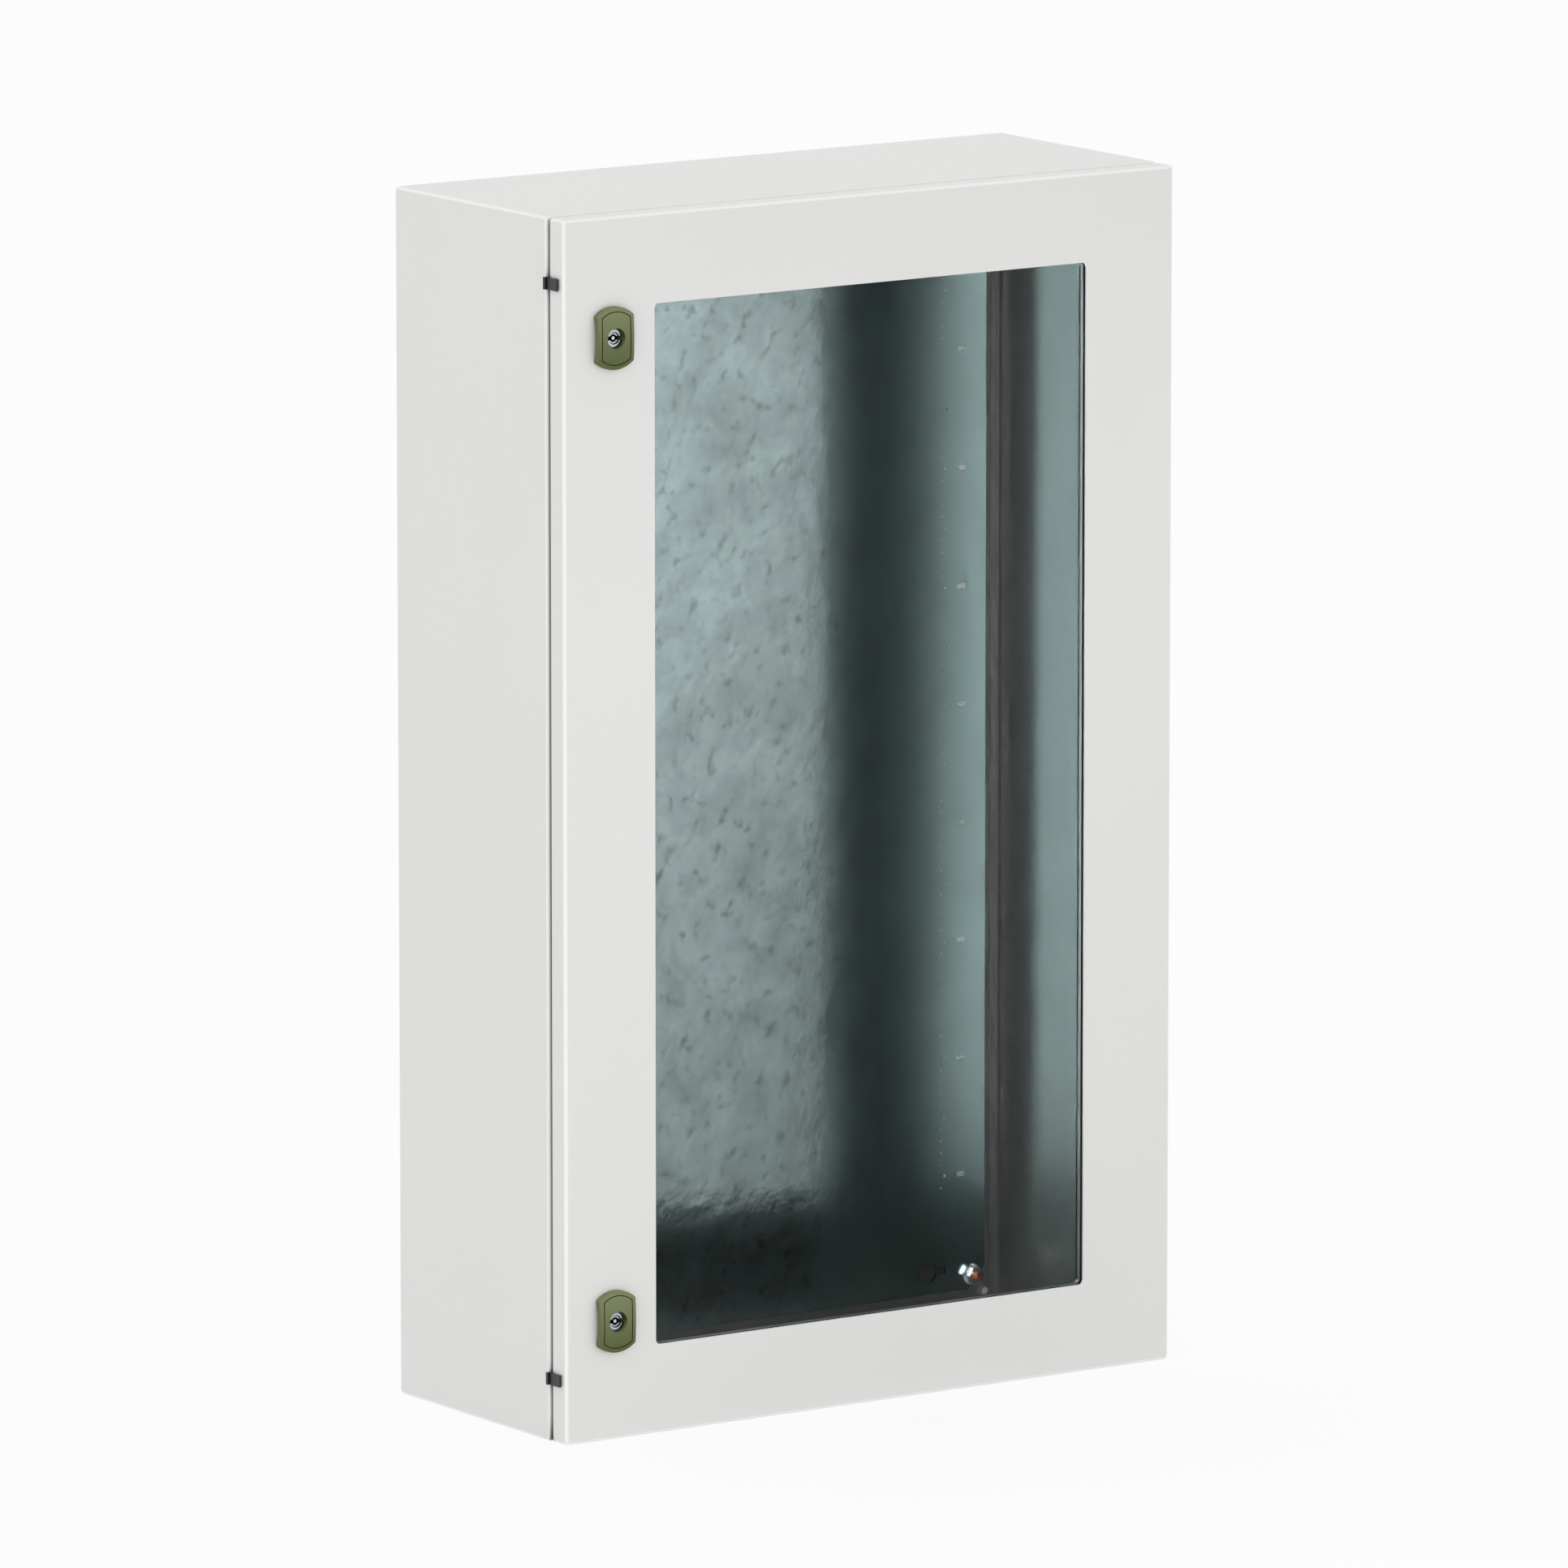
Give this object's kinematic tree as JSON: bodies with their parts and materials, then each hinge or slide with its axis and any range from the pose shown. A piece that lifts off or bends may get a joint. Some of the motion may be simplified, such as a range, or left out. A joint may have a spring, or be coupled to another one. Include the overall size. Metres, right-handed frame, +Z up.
{
  "type": "wall-mounting electrical enclosure with a glazed door",
  "caption": "Tall folded sheet-steel wall enclosure with a hinged glazed door, quarter-turn key locks, a galvanised mounting plate and a cable entry plate in its base.",
  "frame": {"origin": "middle of the four wall holes, on the wall face of the back sheet", "axes": "+X to the right facing the door, +Y into the wall, +Z up"},
  "size_m": [0.6039, 0.257, 1],
  "materials": {
    "light_grey_powder_coat": "fine satin powder coat",
    "galvanised_sheet": "mottled zinc spangle, half bright",
    "zinc_plated_steel": "bright zinc plating",
    "coppered_steel": "thin copper flash on weld studs",
    "nickel_plated_zinc": "polished plating",
    "tinted_glass": "clear float glass with a green edge",
    "black_rubber": "matt extruded rubber",
    "grey_foam": "foamed skin",
    "olive_plastic": "satin moulded polyamide",
    "black_plastic": "satin moulded polyamide",
    "grey_plastic": "matt moulded polyethylene"
  },
  "bodies": {
    "body": {"body_shell": "light_grey_powder_coat", "wall_hole_bushes": "grey_plastic", "mounting_plate": "galvanised_sheet", "plate_studs": "coppered_steel", "plate_standoffs": "zinc_plated_steel", "plate_nuts": "zinc_plated_steel", "gland_plate": "light_grey_powder_coat", "gland_gasket": "black_rubber", "gland_studs": "coppered_steel", "gland_nuts": "zinc_plated_steel", "hinge_arm_upper": "zinc_plated_steel", "hinge_arm_lower": "zinc_plated_steel", "hinge_arm_screws": "zinc_plated_steel", "hinge_pins": "zinc_plated_steel", "body_earth_stud": "coppered_steel", "body_earth_nut": "zinc_plated_steel"},
    "door": {"door_panel": "light_grey_powder_coat", "window_glass": "tinted_glass", "window_seal": "black_rubber", "glass_frame": "light_grey_powder_coat", "glass_frame_studs": "coppered_steel", "glass_frame_nuts": "zinc_plated_steel", "door_gasket": "grey_foam", "hinge_leaf_upper": "zinc_plated_steel", "hinge_leaf_lower": "zinc_plated_steel", "hinge_leaf_studs": "coppered_steel", "hinge_leaf_nuts": "zinc_plated_steel", "upper_lock_case": "olive_plastic", "lower_lock_case": "olive_plastic", "upper_lock_nut": "zinc_plated_steel", "lower_lock_nut": "zinc_plated_steel", "notch_plug_upper": "black_plastic", "notch_plug_lower": "black_plastic", "door_earth_stud": "coppered_steel", "door_earth_nut": "zinc_plated_steel"},
    "upper_lock": {"upper_lock_barrel": "nickel_plated_zinc", "upper_lock_cam": "zinc_plated_steel", "upper_cam_screw": "zinc_plated_steel"},
    "lower_lock": {"lower_lock_barrel": "nickel_plated_zinc", "lower_lock_cam": "zinc_plated_steel", "lower_cam_screw": "zinc_plated_steel"}
  },
  "joints": [
    {"name": "door_hinge", "type": "hinge", "parent": "body", "child": "door", "pos_m": [0.291, -0.24, 0], "axis": [0, 0, 1], "range_deg": [0, 120]},
    {"name": "upper_lock_turn", "type": "hinge", "parent": "door", "child": "upper_lock", "pos_m": [-0.253, -0.25, 0.4015], "axis": [0, 1, 0], "range_deg": [0, 90]},
    {"name": "lower_lock_turn", "type": "hinge", "parent": "door", "child": "lower_lock", "pos_m": [-0.253, -0.25, -0.4015], "axis": [0, 1, 0], "range_deg": [0, 90]}
  ]
}
